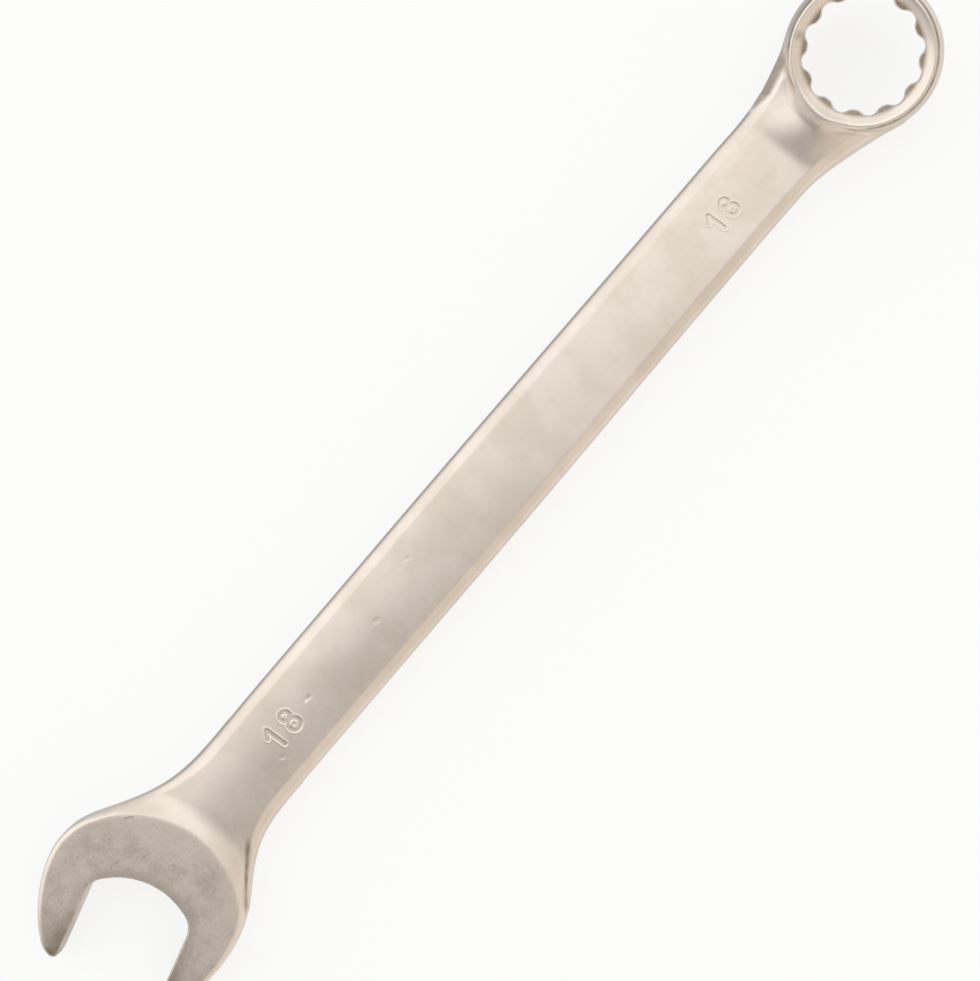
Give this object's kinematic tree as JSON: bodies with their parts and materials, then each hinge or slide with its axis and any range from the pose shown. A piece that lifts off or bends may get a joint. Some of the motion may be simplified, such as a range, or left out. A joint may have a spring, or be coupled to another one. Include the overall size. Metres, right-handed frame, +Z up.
{
  "type": "combination wrench",
  "caption": "Combination wrench with an angled open end, a flat shank and a cranked ring end, forged in steel and satin plated.",
  "frame": {"origin": "centre of the footprint, on the surface that the wrench lies on with its cranked ring rising", "axes": "+X along the shank from the open end to the ring end, +Z up, away from the surface; the open end's jaws point towards -X and turn towards -Y"},
  "size_m": [0.2164, 0.0352, 0.0168],
  "materials": {
    "satin_chrome": "satin nickel-chrome plate over a blasted forging, faintly worn"
  },
  "bodies": {
    "root": {"open_end_head": "satin_chrome", "shank": "satin_chrome", "ring_head": "satin_chrome"}
  },
  "joints": []
}
